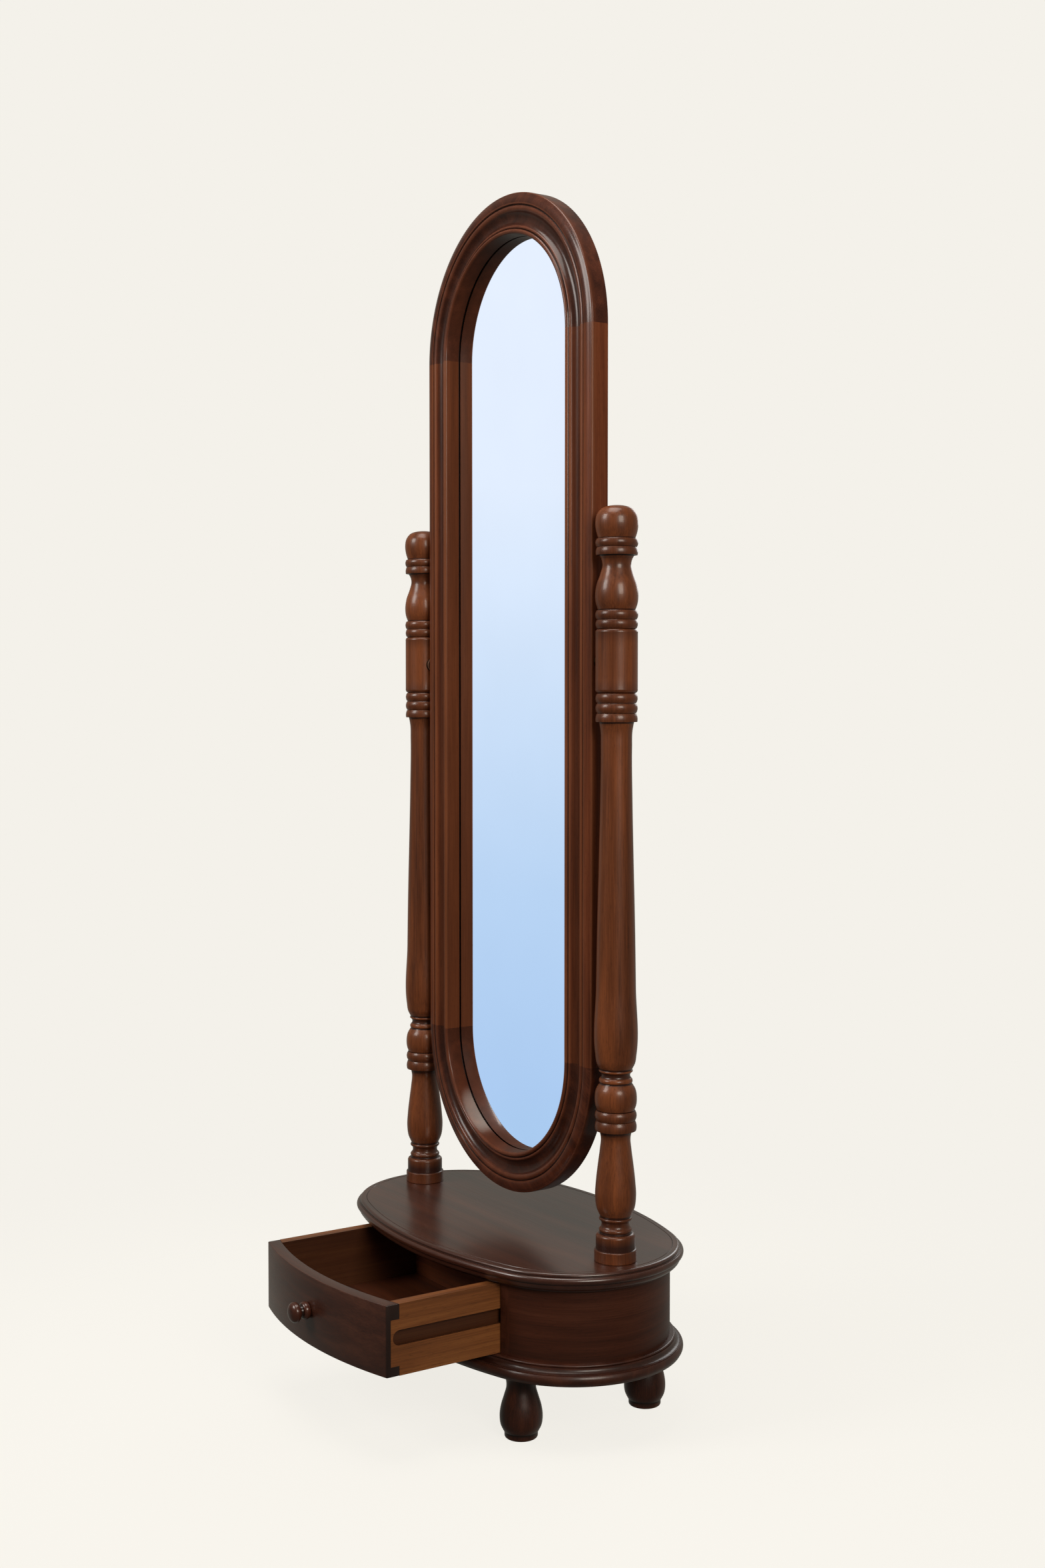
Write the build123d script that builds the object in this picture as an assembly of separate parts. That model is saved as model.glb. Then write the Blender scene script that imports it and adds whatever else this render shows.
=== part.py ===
"""Cheval floor mirror: tilting glass between turned posts on an oval case with a drawer.

Millimetres. +Z is up and the front faces -Y. Everything is drawn about the point
midway between the post axes on the floor. The finished pieces are then shifted along
Y so that the origin is the middle of the whole object's footprint, drawer pulled out.
"""
import os
from math import sqrt

from build123d import *

# Heights above the floor
FOOT_TOP = 91.0
BASE_TOP = 117.0
CASE_TOP = 214.0
DECK = 240.0
PIVOT_Z = 1038.0

# Outline of both boards, and of the case as an inward offset of it
BOARD_HALF_LENGTH = 300.0
BOARD_HALF_WIDTH = 178.0
BOARD_END_RADIUS = 155.0
CASE_INSET = 18.5
WALL = 18.0
GROOVE_INSET = 15.0

# Feet and posts
FOOT_X = 177.0
FOOT_Y = 104.0
POST_X = 248.0
ROD_R = 4.0

# Mirror frame: half width, thickness, width of the rabbet's lip and bottom springing line
FRAME_HALF = 210.0
FRAME_FRONT = -13.0
FRAME_BACK = 13.0
SPRING_LOW = 492.0
SPRING_HIGH = 1487.0
RABBET_W = 49.0
SIGHT_W = 57.5
GLASS_FRONT = 5.5
GLASS_T = 4.0

# Pivots
PIN_R = 5.0
PIN_PLAY = 0.05
BUSH_R = 8.0

# Drawer: outer half width, height range, wall thicknesses and how far it stands open
OPENING_HALF = 173.0
DRAWER_HALF = 171.0
DRAWER_LOW = 118.0
DRAWER_HIGH = 212.0
FRONT_T = 18.0
SIDE_T = 16.5
DRAWER_BACK_Y = 112.0
BACK_T = 12.0
FLOOR_LOW = 126.0
FLOOR_T = 5.0
FLOOR_HOUSING = 5.0
GUIDE_LOW = 157.6
GUIDE_HIGH = 177.8
GUIDE_DEPTH = 7.0
GUIDE_FRONT = -126.0
DRAWER_OPEN = 172.0
DRAWER_TRAVEL = 190.0
KNOB_Z = 165.0
KNOB_REACH = 28.0

CASE_B = BOARD_HALF_WIDTH - CASE_INSET
FOOTPRINT_FRONT = -CASE_B - DRAWER_OPEN - KNOB_REACH
ORIGIN_Y = (FOOTPRINT_FRONT + BOARD_HALF_WIDTH) / 2

NODES = {}


def keep(name, *shapes):
    """Store one sub-part, which may hold several equal separate solids."""
    solids = []
    for shape in shapes:
        solids.extend(shape.solids())
    NODES[name] = solids


# ---------------------------------------------------------------- basic shapes

def box(x0, x1, y0, y1, z0, z1):
    """Block between two corners."""
    size = (x1 - x0, y1 - y0, z1 - z0)
    return Pos((x0 + x1) / 2, (y0 + y1) / 2, (z0 + z1) / 2) * Box(*size)


def rod(x, y, z0, z1, radius):
    """Upright cylinder."""
    return Pos(x, y, (z0 + z1) / 2) * Cylinder(radius, z1 - z0)


def rod_x(x0, x1, y, z, radius):
    """Cylinder along X."""
    return Pos((x0 + x1) / 2, y, z) * Rot(0, 90, 0) * Cylinder(radius, abs(x1 - x0))


def rod_y(y0, y1, x, z, radius):
    """Cylinder along Y."""
    return Pos(x, (y0 + y1) / 2, z) * Rot(90, 0, 0) * Cylinder(radius, abs(y1 - y0))


def outline(start, runs, place):
    """Edges of an open outline. Each run is (kind, point, ...) and place maps to space."""
    edges = []
    here = start
    for kind, *points in runs:
        if kind == "line":
            for point in points:
                edges.append(Line(place(*here), place(*point)))
                here = point
        elif kind == "arc":
            edges.append(ThreePointArc(place(*here), place(*points[0]), place(*points[1])))
            here = points[1]
        else:
            edges.append(Spline([place(*p) for p in [here, *points]]))
            here = points[-1]
    return edges


def turned(start, runs):
    """Solid of revolution about Z from (radius, height) points, bottom to top."""
    def place(radius, height):
        return Vector(radius, 0, height)

    edges = outline(start, runs, place)
    kind, *points = runs[-1]
    end = points[-1]
    loop = []
    if start[0] > 0:
        loop.append(Line(place(0, start[1]), place(*start)))
    loop.extend(edges)
    if end[0] > 0:
        loop.append(Line(place(*end), place(0, end[1])))
    loop.append(Line(place(0, end[1]), place(0, start[1])))
    return revolve(Face(Wire(loop)), axis=Axis.Z, revolution_arc=360)


def wood_screw(length, radius, head_radius):
    """Countersunk screw along -Z with its head flush at z = 0."""
    head = head_radius - radius
    return turned((0.01, -length), [
        ("line", (radius, -length + 3 * radius), (radius, -head), (head_radius, -0.4),
         (head_radius, 0)),
    ])


# ------------------------------------------------------------------- ovals

def oval_data(inset):
    """Half sizes, end radius, side radius and centres of the oval at an inset."""
    a, b, r = BOARD_HALF_LENGTH, BOARD_HALF_WIDTH, BOARD_END_RADIUS
    side = ((a - r) ** 2 + b * b - r * r) / (2 * (b - r))
    return {
        "end_x": a - r,
        "side_y": side - b,
        "end_r": r - inset,
        "side_r": side - inset,
        "ux": (a - r) / (side - r),
        "uy": (side - b) / (side - r),
    }


def oval_face(inset, z):
    """Flat oval of four tangent arcs."""
    d = oval_data(inset)
    tx = d["end_x"] + d["end_r"] * d["ux"]
    ty = d["end_r"] * d["uy"]
    far = d["end_x"] + d["end_r"]
    top = d["side_r"] - d["side_y"]
    edges = [
        ThreePointArc((tx, -ty, z), (far, 0, z), (tx, ty, z)),
        ThreePointArc((tx, ty, z), (0, top, z), (-tx, ty, z)),
        ThreePointArc((-tx, ty, z), (-far, 0, z), (-tx, -ty, z)),
        ThreePointArc((-tx, -ty, z), (0, -top, z), (tx, -ty, z)),
    ]
    return Face(Wire(edges))


def oval_prism(inset, z0, z1):
    """Upright oval block."""
    return extrude(oval_face(inset, z0), amount=z1 - z0, dir=(0, 0, 1))


def oval_moulding(start, runs):
    """Closed edge section of (inset, height) points carried round the oval."""
    d = oval_data(0)
    tx = d["ux"]
    ty = d["uy"]
    pieces = []
    # centre x, centre y, radius, start direction, arc angle
    end_angle = 2 * Vector(1, 0, 0).get_angle(Vector(tx, ty, 0))
    side_angle = 180 - end_angle
    arcs = [
        (d["end_x"], 0, d["end_r"], (tx, -ty), end_angle),
        (0, -d["side_y"], d["side_r"], (tx, ty), side_angle),
        (-d["end_x"], 0, d["end_r"], (-tx, ty), end_angle),
        (0, d["side_y"], d["side_r"], (-tx, -ty), side_angle),
    ]
    for cx, cy, radius, (dx, dy), angle in arcs:
        def place(inset, height):
            reach = radius - inset
            return Vector(cx + dx * reach, cy + dy * reach, height)

        face = Face(Wire(outline(start, runs, place)))
        axis = Axis((cx, cy, 0), (0, 0, 1))
        pieces.append(revolve(face, axis=axis, revolution_arc=angle))
    ring = pieces[0]
    for piece in pieces[1:]:
        ring = ring + piece
    return ring


# ------------------------------------------------------------------- boards

def make_top_board():
    """Oval top: incised line, small bead, two fillets, big bead and a cove below."""
    z = DECK
    ring = oval_moulding((30, z), [
        ("line", (GROOVE_INSET + 0.7, z), (GROOVE_INSET, z - 0.9), (GROOVE_INSET - 0.7, z),
         (9.4, z)),
        ("arc", (6.2, z - 0.9), (5.0, z - 3.6)),
        ("line", (5.0, z - 4.3), (3.6, z - 4.3), (3.6, z - 5.2), (2.6, z - 5.2)),
        ("arc", (0.0, z - 9.6), (2.6, z - 14.2)),
        ("line", (3.8, z - 14.2), (3.8, z - 15.4)),
        ("arc", (6.0, z - 21.0), (13.0, z - 24.0)),
        ("line", (13.0, z - 26.0), (30, z - 26.0), (30, z)),
    ])
    board = ring + oval_prism(25, CASE_TOP, DECK)
    for side in (-1, 1):
        board = board - rod(side * POST_X, 0, CASE_TOP - 5, DECK + 5, ROD_R)
    return board


def make_bottom_board():
    """Oval base: fine bead and fillet under the case, cove, broad rounded band."""
    z = BASE_TOP
    ring = oval_moulding((30, z), [
        ("line", (13.4, z)),
        ("arc", (11.4, z - 1.7), (13.0, z - 3.4)),
        ("line", (11.2, z - 3.4), (11.2, z - 4.4)),
        ("arc", (9.6, z - 8.2), (4.6, z - 10.4)),
        ("line", (3.2, z - 10.4), (3.2, z - 11.5), (2.2, z - 11.5)),
        ("arc", (0.0, z - 17.6), (2.4, z - 23.6)),
        ("arc", (3.4, z - 25.3), (5.4, z - 26.0)),
        ("line", (30, z - 26.0), (30, z)),
    ])
    board = ring + oval_prism(25, FOOT_TOP, BASE_TOP)
    for side in (-1, 1):
        board = board - rod(side * POST_X, 0, FOOT_TOP - 5, BASE_TOP + 5, ROD_R)
        board = board - rod(side * POST_X, 0, FOOT_TOP - 5, FOOT_TOP + 10, 12)
    return board


# ------------------------------------------------------------------- case

def make_case(top_board, bottom_board):
    """Curved ends, bowed back, partitions and the small pieces that tie them together."""
    shell = oval_prism(CASE_INSET, BASE_TOP, CASE_TOP)
    shell = shell - oval_prism(CASE_INSET + WALL, BASE_TOP - 1, CASE_TOP + 1)
    keep("case_back", shell & box(-OPENING_HALF, OPENING_HALF, 60, 200, BASE_TOP, CASE_TOP))
    end = shell & box(OPENING_HALF, 320, -200, 200, BASE_TOP, CASE_TOP)
    keep("case_end_right", end)
    keep("case_end_left", mirror(end, about=Plane.YZ))

    inner = oval_prism(CASE_INSET + WALL, BASE_TOP, CASE_TOP)
    outer_face = OPENING_HALF + 14
    partition = inner & box(OPENING_HALF, outer_face, -150, 150, BASE_TOP, CASE_TOP)
    cleat = box(outer_face, outer_face + 20, -80, 80, CASE_TOP - 20, CASE_TOP)
    blocks = [inner & box(outer_face, outer_face + 15, y0, y0 + 32, BASE_TOP, CASE_TOP - 22)
              for y0 in (-122, 90)]

    guide_mid = (GUIDE_LOW + GUIDE_HIGH) / 2
    guide_r = (GUIDE_HIGH - GUIDE_LOW) / 2 - 0.3
    runner_front = GUIDE_FRONT + 1.0
    tip = OPENING_HALF - 8.0
    runner = box(tip, OPENING_HALF, runner_front + guide_r, DRAWER_BACK_Y - 6,
                 guide_mid - guide_r, guide_mid + guide_r)
    runner = runner + rod_x(tip, OPENING_HALF, runner_front + guide_r, guide_mid, guide_r)

    screws = {"cleat_screws": [], "runner_screws": [], "base_screws": []}
    for y in (-55, 55):
        up = Pos(outer_face + 10, y, CASE_TOP - 20) * Rot(180, 0, 0) * wood_screw(38, 2, 4)
        screws["cleat_screws"].append(up)
        below = Pos(OPENING_HALF + 7, y, FOOT_TOP) * Rot(180, 0, 0) * wood_screw(60, 2.2, 4.4)
        screws["base_screws"].append(below)
    for y in (-75, 0, 75):
        across = Pos(tip, y, guide_mid) * Rot(0, -90, 0) * wood_screw(19, 1.8, 3.6)
        screws["runner_screws"].append(across)

    both = {"cleat": cleat, "runner": runner, "partition": partition}
    cutters = {
        "cleat": screws["cleat_screws"],
        "runner": screws["runner_screws"],
        "partition": screws["runner_screws"] + screws["base_screws"],
    }
    for name, solid in both.items():
        for cutter in cutters[name]:
            solid = solid - cutter
        keep(name + "_right", solid)
        keep(name + "_left", mirror(solid, about=Plane.YZ))
    mirrored = {}
    for name, group in screws.items():
        mirrored[name] = group + [mirror(s, about=Plane.YZ) for s in group]
        keep(name, *mirrored[name])
    keep("glue_blocks", *blocks, *[mirror(b, about=Plane.YZ) for b in blocks])

    # Blocks that the drawer's back meets when it is shut
    stops = [box(x - 16, x + 16, DRAWER_BACK_Y + 0.5, DRAWER_BACK_Y + 16, BASE_TOP, 140)
             for x in (-70, 70)]
    keep("drawer_stops", *stops)

    # Turn button under the top board that holds the drawer at full travel
    catch_y = DRAWER_BACK_Y - BACK_T - DRAWER_TRAVEL - 0.5
    button = box(-18, 18, catch_y - 14, catch_y, CASE_TOP - 9, CASE_TOP)
    button_screw = Pos(0, catch_y - 7, CASE_TOP - 9) * Rot(180, 0, 0) * wood_screw(24, 2, 4)
    keep("drawer_catch", button - button_screw)
    keep("catch_screw", button_screw)

    for cutter in mirrored["cleat_screws"] + [button_screw]:
        top_board = top_board - cutter
    for cutter in mirrored["base_screws"]:
        bottom_board = bottom_board - cutter
    return top_board, bottom_board


# ------------------------------------------------------------------- feet

def make_feet(bottom_board):
    """Four turned feet, each on a hanger bolt."""
    foot = turned((19.5, 0), [
        ("arc", (21.7, 1.2), (22.5, 3.6)),
        ("line", (22.5, 8.6), (23.6, 9.4)),
        ("curve", (27.4, 17), (29.0, 29), (27.2, 43), (23.0, 57), (19.9, 69), (20.9, 79),
         (24.6, 86.5)),
        ("line", (26.0, 87.5), (26.0, FOOT_TOP)),
    ])
    foot = foot - rod(0, 0, FOOT_TOP - 32, FOOT_TOP + 1, ROD_R)
    spots = {
        "foot_front_left": (-FOOT_X, -FOOT_Y),
        "foot_front_right": (FOOT_X, -FOOT_Y),
        "foot_back_left": (-FOOT_X, FOOT_Y),
        "foot_back_right": (FOOT_X, FOOT_Y),
    }
    bolts = []
    for name, (x, y) in spots.items():
        keep(name, Pos(x, y, 0) * foot)
        bolts.append(rod(x, y, FOOT_TOP - 31, FOOT_TOP + 18, ROD_R))
        bottom_board = bottom_board - rod(x, y, FOOT_TOP - 1, FOOT_TOP + 19, ROD_R)
    keep("foot_bolts", *bolts)
    return bottom_board


# ------------------------------------------------------------------- posts

def ring(low, high, radius, core, flare=0.0):
    """Runs of a turned ring between two heights. A flare sharpens its lower edge."""
    edge = radius - (high - low) * 0.16
    return [
        ("line", (core, low), (edge + flare, low)),
        ("arc", (radius, (low + high) / 2 - flare), (edge, high)),
        ("line", (core, high)),
    ]


def make_posts():
    """Turned posts with drum foot, two vases, rings, long taper, barrel and ball."""
    runs = [
        ("arc", (28.4, 0.5), (28.5, 1.5)),
        ("line", (28.5, 14.2)),
        ("arc", (28.2, 15.5), (27.0, 16.1)),
        ("line", (26.4, 16.4), (26.4, 32.0)),
        ("arc", (25.4, 35.4), (21.4, 37.2)),
        ("line", (21.0, 39.2)),
        ("arc", (22.3, 41.8), (21.0, 44.4)),
        ("arc", (18.7, 50.4), (20.8, 54.6)),
        ("arc", (22.3, 56.6), (20.8, 58.8)),
        ("line", (21.0, 60.4)),
        ("curve", (25.4, 70.5), (27.4, 86.5), (26.4, 105), (23.6, 130), (21.0, 150),
         (19.9, 166), (21.2, 172.4)),
    ]
    runs += ring(175.0, 188.0, 27.9, 22.6, flare=1.4)
    runs += ring(188.4, 201.6, 27.9, 24.6)
    runs += [
        ("curve", (27.1, 208), (28.1, 218.7), (26.3, 230), (21.4, 238.4)),
        ("arc", (22.4, 241.6), (21.2, 244.8)),
        ("arc", (19.1, 248.8), (20.9, 252.8)),
        ("arc", (22.6, 254.6), (21.6, 256.6)),
        ("line", (22.0, 257.4)),
        ("curve", (25.6, 264.5), (27.6, 277), (26.5, 366), (25.4, 437), (22.9, 543),
         (21.4, 614), (20.7, 684.7), (21.3, 707), (22.8, 715.6)),
    ]
    runs += ring(718.0, 729.0, 27.9, 23.4, flare=1.4)
    runs += ring(729.4, 742.5, 27.9, 25.4)
    runs += ring(742.9, 755.4, 27.9, 25.4)
    runs += [
        ("line", (24.6, 755.9)),
        ("arc", (27.1, 757.6), (28.0, 761.5)),
        ("line", (28.0, 835.0)),
        ("arc", (27.1, 838.9), (24.6, 840.6)),
    ]
    runs += ring(841.0, 852.6, 27.9, 25.4)
    runs += ring(853.0, 864.8, 28.3, 24.4)
    runs += [
        ("curve", (27.3, 873), (28.5, 884.8), (26.6, 899), (21.6, 913.5), (19.0, 925),
         (20.6, 932.6), (22.8, 936.4)),
    ]
    runs += ring(937.4, 947.8, 27.8, 23.2, flare=1.2)
    runs += ring(948.2, 958.8, 28.2, 24.2)
    runs += [
        ("curve", (27.2, 968.5), (28.4, 981), (26.6, 990.5), (20.5, 998.4), (10.5, 1002.0),
         (0, 1002.6)),
    ]
    blank = turned((27.9, 0), runs)
    bore = rod(0, 0, -1, 80, ROD_R)
    for side, tag in ((-1, "left"), (1, "right")):
        post = Pos(side * POST_X, 0, DECK) * (blank - bore)
        socket = rod_x(side * (POST_X - 40), side * (POST_X + 14), 0, PIVOT_Z, BUSH_R)
        seat = rod_x(side * (POST_X - 40), side * (POST_X - 25.5), 0, PIVOT_Z, 11.5)
        keep("post_" + tag, post - socket - seat)

        flange = rod_x(side * (POST_X - 28), side * (POST_X - 25.5), 0, PIVOT_Z, 11.2)
        sleeve = rod_x(side * (POST_X - 28), side * (POST_X + 13.5), 0, PIVOT_Z, BUSH_R)
        bore_x = rod_x(side * (POST_X - 29), side * (POST_X + 11), 0, PIVOT_Z,
                       PIN_R + PIN_PLAY)
        keep("pivot_bush_" + tag, flange + sleeve - bore_x)

    rods = []
    washers = []
    nuts = []
    for side in (-1, 1):
        x = side * POST_X
        rods.append(rod(x, 0, FOOT_TOP + 1, DECK + 78, ROD_R))
        washers.append(rod(x, 0, FOOT_TOP + 8, FOOT_TOP + 10, 11) - rod(x, 0, 90, 110, ROD_R))
        nut = extrude(Plane.XY * RegularPolygon(7.0, 6), amount=6)
        nuts.append(Pos(x, 0, FOOT_TOP + 2) * nut - rod(x, 0, 90, 110, ROD_R))
    keep("post_rods", *rods)
    keep("rod_washers", *washers)
    keep("rod_nuts", *nuts)


# ------------------------------------------------------------------- mirror

def frame_section(place):
    """Moulding section from (distance in from the edge, height proud of the front)."""
    depth = FRAME_FRONT - FRAME_BACK
    lip = FRAME_FRONT - GLASS_FRONT
    runs = [
        ("line", (0, -2.2)),
        ("arc", (0.6, -0.6), (2.2, 0.2)),
        ("curve", (6.0, 1.9), (11.0, 2.9), (15.8, 2.8)),
        ("line", (17.0, 1.0), (18.0, 1.6)),
        ("arc", (21.6, 3.0), (25.2, 1.7)),
        ("line", (25.9, 0.9)),
        ("arc", (35.8, -4.2), (45.6, 2.2)),
        ("arc", (47.0, 3.5), (48.8, 3.3)),
        ("line", (49.8, 2.2), (50.5, 3.0)),
        ("arc", (53.6, 5.8), (56.8, 2.8)),
        ("line", (SIGHT_W, -3.5), (SIGHT_W, lip), (RABBET_W, lip), (RABBET_W, depth),
         (0, depth)),
    ]
    return Face(Wire(outline((0, depth), runs, place)))


def stadium_prism(half, y0, y1):
    """Round-ended plate, upright, between two depths."""
    plate = box(-half, half, y0, y1, SPRING_LOW, SPRING_HIGH)
    for z in (SPRING_LOW, SPRING_HIGH):
        plate = plate + rod_y(y0, y1, 0, z, half)
    return plate


def make_mirror():
    """Six moulded frame pieces, dowels, glass, backing, clips and the pivot pins."""
    def place(w, h, z):
        return Vector(FRAME_HALF - w, FRAME_FRONT - h, z)

    low = frame_section(lambda w, h: place(w, h, SPRING_LOW))
    high = frame_section(lambda w, h: place(w, h, SPRING_HIGH))
    stile = extrude(low, amount=SPRING_HIGH - SPRING_LOW, dir=(0, 0, 1))
    arch_low = revolve(low, axis=Axis((0, 0, SPRING_LOW), (0, 1, 0)), revolution_arc=90)
    arch_high = revolve(high, axis=Axis((0, 0, SPRING_HIGH), (0, -1, 0)), revolution_arc=90)

    dowels = []
    sockets = []
    for w in (15.0, 36.0):
        for z in (SPRING_LOW, SPRING_HIGH):
            for side in (-1, 1):
                x = side * (FRAME_HALF - w)
                dowels.append(rod(x, 2, z - 19, z + 19, 4))
                sockets.append(rod(x, 2, z - 20, z + 20, 4))
        for z in (SPRING_LOW - FRAME_HALF + w, SPRING_HIGH + FRAME_HALF - w):
            dowels.append(rod_x(-19, 19, 2, z, 4))
            sockets.append(rod_x(-20, 20, 2, z, 4))
    keep("frame_dowels", *dowels)

    clips = []
    clip_screws = []
    middle = (SPRING_LOW + SPRING_HIGH) / 2
    inset = FRAME_HALF - RABBET_W + 9
    spots = [(inset, SPRING_LOW, 0), (inset, middle, 0), (inset, SPRING_HIGH, 0)]
    spots += [(-x, z, 180) for x, z, turn in spots]
    spots += [(0, SPRING_HIGH + inset, 90), (0, SPRING_LOW - inset, 270)]
    spots = [(x, z + 36 * (z == SPRING_LOW) - 36 * (z == SPRING_HIGH), turn)
             for x, z, turn in spots]
    for x, z, turn in spots:
        plate = box(-24, 5, 0, 1.6, -5, 5) + rod_y(0, 1.6, 5, 0, 5) + rod_y(0, 1.6, -24, 0, 5)
        plate = plate - rod_y(-1, 3, 0, 0, 1.8)
        screw = Rot(-90, 0, 0) * turned((0.01, -11), [
            ("line", (1.8, -6), (1.8, 0), (3.8, 0)),
            ("arc", (3.2, 1.3), (1.6, 2.0)),
            ("line", (0, 2.0)),
        ])
        here = Pos(x, FRAME_BACK, z) * Rot(0, -turn, 0)
        clips.append(here * plate)
        clip_screws.append(here * Pos(0, 1.6, 0) * screw)
    keep("back_clips", *clips)
    keep("clip_screws", *clip_screws)

    pieces = {
        "stile_right": stile,
        "stile_left": mirror(stile, about=Plane.YZ),
        "arch_bottom_right": arch_low,
        "arch_bottom_left": mirror(arch_low, about=Plane.YZ),
        "arch_top_right": arch_high,
        "arch_top_left": mirror(arch_high, about=Plane.YZ),
    }
    pins = []
    collars = []
    washers = []
    for side in (-1, 1):
        face = side * FRAME_HALF
        pins.append(rod_x(face - side * 34, side * (POST_X + 9), 0, PIVOT_Z, PIN_R))
        hole = rod_x(face - side * 40, side * (POST_X + 20), 0, PIVOT_Z, PIN_R)
        collars.append(rod_x(face, face + side * 6, 0, PIVOT_Z, 9.5) - hole)
        washers.append(rod_x(face + side * 6, face + side * 9.9, 0, PIVOT_Z, 10.5) - hole)
    keep("pivot_pins", *pins)
    keep("pivot_collars", *collars)
    keep("friction_washers", *washers)

    for name, solid in pieces.items():
        bounds = solid.bounding_box()
        for cutter in sockets + clip_screws + pins:
            reach = cutter.bounding_box()
            if all(lo < hi for lo, hi in (
                (max(bounds.min.X, reach.min.X), min(bounds.max.X, reach.max.X)),
                (max(bounds.min.Z, reach.min.Z), min(bounds.max.Z, reach.max.Z)),
            )):
                solid = solid - cutter
        keep(name, solid)

    glass_half = FRAME_HALF - RABBET_W - 1.0
    keep("mirror_glass", stadium_prism(glass_half, GLASS_FRONT, GLASS_FRONT + GLASS_T))
    keep("backing_board", stadium_prism(glass_half, GLASS_FRONT + GLASS_T, FRAME_BACK))


# ------------------------------------------------------------------- drawer

def arc_band(outer_inset, inner_inset, half, z0, z1):
    """Bowed strip parallel to the case front, square to X at its ends."""
    band = oval_prism(outer_inset, z0, z1) - oval_prism(inner_inset, z0 - 1, z1 + 1)
    return band & box(-half, half, -200, -60, z0, z1)


def make_drawer():
    """Drawer drawn shut, then moved to where it stands open."""
    out = Pos(0, -DRAWER_OPEN, 0)
    inner_half = DRAWER_HALF - SIDE_T
    front = arc_band(CASE_INSET, CASE_INSET + FRONT_T, DRAWER_HALF, DRAWER_LOW, DRAWER_HIGH)
    floor = oval_prism(CASE_INSET + FRONT_T - FLOOR_HOUSING, FLOOR_LOW, FLOOR_LOW + FLOOR_T)
    floor = floor & box(-inner_half - FLOOR_HOUSING, inner_half + FLOOR_HOUSING, -200,
                        DRAWER_BACK_Y - BACK_T + FLOOR_HOUSING, FLOOR_LOW, FLOOR_LOW + FLOOR_T)
    back = box(-inner_half, inner_half, DRAWER_BACK_Y - BACK_T, DRAWER_BACK_Y,
               DRAWER_LOW, DRAWER_HIGH)

    # Half-blind corner: the side's tongue is housed in the end of the front
    tongue = -CASE_B + 30.5
    for side in (-1, 1):
        x0, x1 = sorted((side * inner_half, side * (DRAWER_HALF + 1)))
        front = front - box(x0, x1, tongue, 0, 131, 192)
    guide_mid = (GUIDE_LOW + GUIDE_HIGH) / 2
    guide_r = (GUIDE_HIGH - GUIDE_LOW) / 2
    bed = DRAWER_HALF - GUIDE_DEPTH
    for side, tag in ((-1, "left"), (1, "right")):
        x0, x1 = sorted((side * inner_half, side * DRAWER_HALF))
        wall = box(x0, x1, tongue, DRAWER_BACK_Y, DRAWER_LOW, DRAWER_HIGH) - front
        x0, x1 = sorted((side * bed, side * (DRAWER_HALF + 1)))
        slot = box(x0, x1, GUIDE_FRONT + guide_r, DRAWER_BACK_Y + 1, GUIDE_LOW, GUIDE_HIGH)
        slot = slot + rod_x(x0, x1, GUIDE_FRONT + guide_r, guide_mid, guide_r)
        keep("drawer_side_" + tag, out * (wall - slot - floor))

    knob = turned((9.0, 0), [
        ("line", (10.4, 0.8)),
        ("arc", (12.0, 5.4), (9.6, 9.8)),
        ("line", (8.0, 10.6), (7.6, 12.6)),
        ("curve", (10.6, 14.6), (13.7, 18.6), (13.2, 23.0), (9.0, 26.6), (4.0, 27.8),
         (0, KNOB_REACH)),
    ])
    knob = Pos(0, -CASE_B, KNOB_Z) * Rot(90, 0, 0) * knob
    inner_y = -CASE_B + FRONT_T
    screw = rod_y(-CASE_B - 16, inner_y, 0, KNOB_Z, 2.0)
    screw = screw + rod_y(inner_y, inner_y + 2.2, 0, KNOB_Z, 4.2)
    bowed = oval_prism(CASE_INSET, DRAWER_LOW, DRAWER_HIGH)
    keep("drawer_knob", out * (knob - bowed - screw))
    keep("knob_screw", out * screw)
    keep("drawer_front", out * (front - floor - screw))
    keep("drawer_back", out * (back - floor))
    keep("drawer_bottom", out * floor)


# ------------------------------------------------------------------- build

def main():
    top_board, bottom_board = make_case(make_top_board(), make_bottom_board())
    keep("top_board", top_board)
    keep("bottom_board", make_feet(bottom_board))
    make_posts()
    make_mirror()
    make_drawer()
    os.makedirs("parts", exist_ok=True)
    for name, solids in NODES.items():
        shape = solids[0] if len(solids) == 1 else Compound(solids)
        export_step(Pos(0, -ORIGIN_Y, 0) * shape, f"parts/{name}.step")


main()
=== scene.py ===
"""Cheval floor mirror in stained and lacquered mahogany: surfaces and stage."""

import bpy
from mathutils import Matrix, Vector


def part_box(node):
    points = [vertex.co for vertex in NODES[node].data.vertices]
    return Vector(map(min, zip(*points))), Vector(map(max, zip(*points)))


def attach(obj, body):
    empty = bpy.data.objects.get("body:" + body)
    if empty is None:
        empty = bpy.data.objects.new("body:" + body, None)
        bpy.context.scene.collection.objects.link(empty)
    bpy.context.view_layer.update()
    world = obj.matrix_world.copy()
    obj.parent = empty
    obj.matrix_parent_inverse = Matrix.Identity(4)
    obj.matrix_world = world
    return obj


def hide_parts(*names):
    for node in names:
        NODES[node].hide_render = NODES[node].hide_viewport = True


bl_info = {
    "name": "Cheval Floor Mirror",
    "version": (1, 0, 0),
    "blender": (4, 5, 0),
    "location": "View3D > Sidebar > Cheval Mirror",
    "description": "Builds the finished surfaces of a cheval floor mirror around its frame",
    "category": "Object",
}

import math

import bmesh
import bpy
from mathutils import Matrix, Vector

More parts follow.
